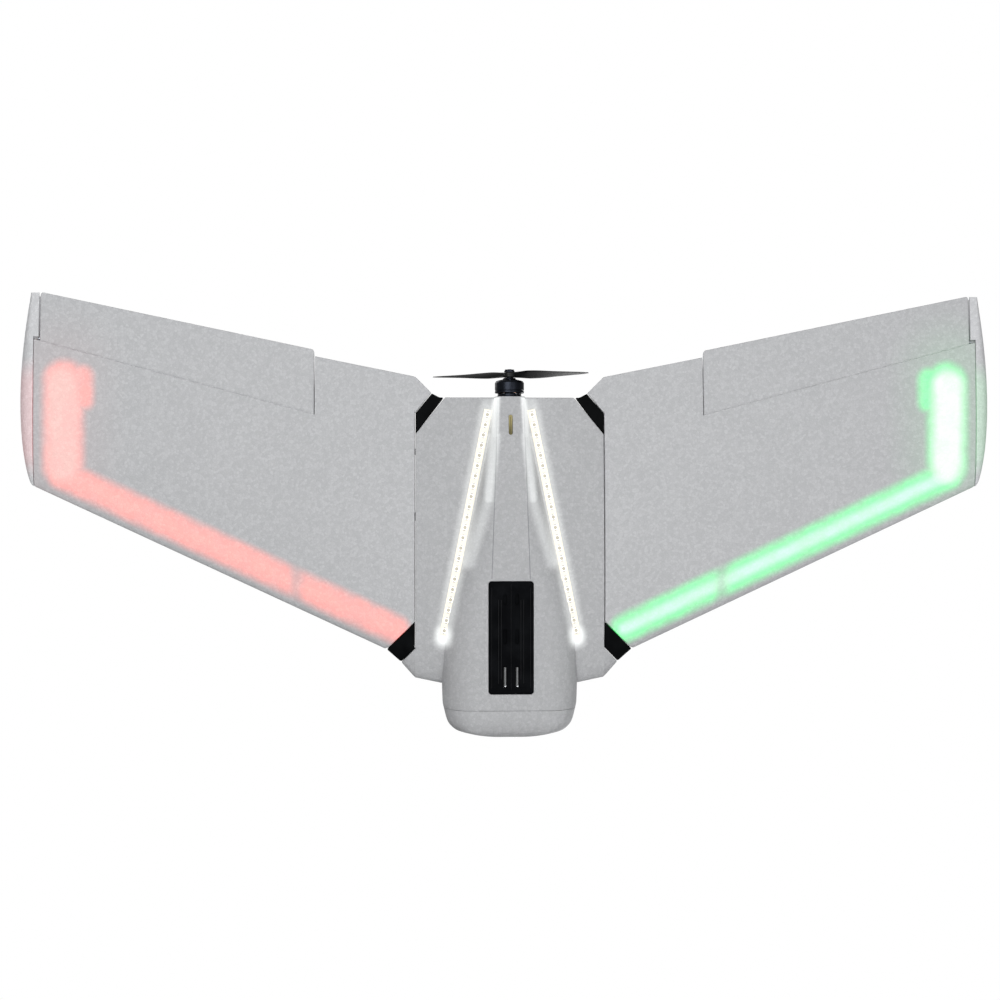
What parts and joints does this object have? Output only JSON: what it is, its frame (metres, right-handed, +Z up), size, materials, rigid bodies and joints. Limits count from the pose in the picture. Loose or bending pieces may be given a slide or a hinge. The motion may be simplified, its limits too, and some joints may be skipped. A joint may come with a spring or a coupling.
{
  "type": "rc flying wing",
  "caption": "Tailless radio-controlled foam wing with belly pod, upturned tips, elevons, pusher propeller, belly lights and lights glowing red to port and green to starboard.",
  "frame": {"origin": "middle of the bounding box in X and Y, at the flat of the belly that the wing stands on", "axes": "+Z up, nose towards -Y, port wing towards +X"},
  "size_m": [0.8996, 0.4084, 0.104],
  "materials": {
    "foam": "matte",
    "black_plastic": "satin",
    "lens": "gloss",
    "circuit": "satin",
    "light_strip": "satin",
    "carbon": "satin",
    "anodised": "satin",
    "copper": "satin",
    "propeller": "satin",
    "battery_wrap": "satin",
    "strap": "matte",
    "plywood": "matte",
    "servo_case": "satin",
    "nylon": "satin",
    "steel": "satin",
    "magnet": "gloss"
  },
  "bodies": {
    "airframe": {"centre_section": "foam", "nose_cap": "foam", "nose_lens": "lens", "nose_light_board": "circuit", "belly_plate": "black_plastic", "front_catch_plate": "steel", "rear_catch_plate": "steel", "motor_mount": "plywood", "tail_stiffener": "plywood", "front_spar": "carbon", "rear_spar": "carbon", "battery": "battery_wrap", "battery_strap": "strap", "speed_controller": "circuit", "receiver": "circuit", "flight_controller": "circuit", "light_controller": "circuit", "motor_base": "anodised", "motor_stator": "copper", "port_belly_light_strip": "light_strip", "starboard_belly_light_strip": "light_strip", "port_tail_lock": "black_plastic", "starboard_tail_lock": "black_plastic", "port_root_socket": "black_plastic", "starboard_root_socket": "black_plastic"},
    "hatch": {"top_hatch": "foam", "front_hatch_magnet": "magnet", "rear_hatch_magnet": "magnet"},
    "rotor": {"motor_bell": "anodised", "propeller": "propeller", "propeller_nut": "anodised"},
    "port_wing": {"port_wing_panel": "foam", "port_winglet": "foam", "port_nav_light_strip": "light_strip", "port_front_lock": "black_plastic", "port_spar_sleeve": "carbon", "port_root_plug": "black_plastic", "port_servo": "servo_case", "port_servo_cover": "foam", "port_inner_hinge_pin": "steel", "port_outer_hinge_pin": "steel"},
    "port_elevon": {"port_elevon": "foam", "port_control_horn": "black_plastic"},
    "port_servo_arm": {"port_servo_arm": "nylon"},
    "port_pushrod": {"port_pushrod": "steel"},
    "starboard_wing": {"starboard_wing_panel": "foam", "starboard_winglet": "foam", "starboard_nav_light_strip": "light_strip", "starboard_front_lock": "black_plastic", "starboard_spar_sleeve": "carbon", "starboard_root_plug": "black_plastic", "starboard_servo": "servo_case", "starboard_servo_cover": "foam", "starboard_inner_hinge_pin": "steel", "starboard_outer_hinge_pin": "steel"},
    "starboard_elevon": {"starboard_elevon": "foam", "starboard_control_horn": "black_plastic"},
    "starboard_servo_arm": {"starboard_servo_arm": "nylon"},
    "starboard_pushrod": {"starboard_pushrod": "steel"}
  },
  "joints": [
    {"name": "hatch_lift", "type": "slide", "parent": "airframe", "child": "hatch", "axis": [0, 0, 1], "range_m": [0, 0.08]},
    {"name": "rotor_spin", "type": "hinge", "parent": "airframe", "child": "rotor", "pos_m": [0, 0.1293, 0.036], "axis": [0, 1, 0], "continuous": true},
    {"name": "port_wing_slide", "type": "slide", "parent": "airframe", "child": "port_wing", "axis": [1, 0, 0], "range_m": [0, 0.115]},
    {"name": "port_elevon_hinge", "type": "hinge", "parent": "port_wing", "child": "port_elevon", "pos_m": [0.1795, 0.0944, 0.034], "axis": [0.9667, 0.2559, 0], "range_deg": [-25, 25]},
    {"name": "port_servo_turn", "type": "hinge", "parent": "port_wing", "child": "port_servo_arm", "pos_m": [0.25189, 0.05149, 0.0344], "axis": [0.9667, 0.2559, 0], "range_deg": [-25, 25]},
    {"name": "port_pushrod_swing", "type": "hinge", "parent": "port_servo_arm", "child": "port_pushrod", "pos_m": [0.25189, 0.05149, 0.0514], "axis": [0.9667, 0.2559, 0], "range_deg": [-25, 25]},
    {"name": "starboard_wing_slide", "type": "slide", "parent": "airframe", "child": "starboard_wing", "axis": [-1, 0, 0], "range_m": [0, 0.115]},
    {"name": "starboard_elevon_hinge", "type": "hinge", "parent": "starboard_wing", "child": "starboard_elevon", "pos_m": [-0.1795, 0.0944, 0.034], "axis": [0.9667, -0.2559, 0], "range_deg": [-25, 25]},
    {"name": "starboard_servo_turn", "type": "hinge", "parent": "starboard_wing", "child": "starboard_servo_arm", "pos_m": [-0.25189, 0.05149, 0.0344], "axis": [0.9667, -0.2559, 0], "range_deg": [-25, 25]},
    {"name": "starboard_pushrod_swing", "type": "hinge", "parent": "starboard_servo_arm", "child": "starboard_pushrod", "pos_m": [-0.25189, 0.05149, 0.0514], "axis": [0.9667, -0.2559, 0], "range_deg": [-25, 25]}
  ],
  "couplings": [
    {"joint": "port_servo_turn", "follows": "port_elevon_hinge", "ratio": 1},
    {"joint": "port_pushrod_swing", "follows": "port_elevon_hinge", "ratio": -1},
    {"joint": "starboard_servo_turn", "follows": "starboard_elevon_hinge", "ratio": 1},
    {"joint": "starboard_pushrod_swing", "follows": "starboard_elevon_hinge", "ratio": -1}
  ]
}
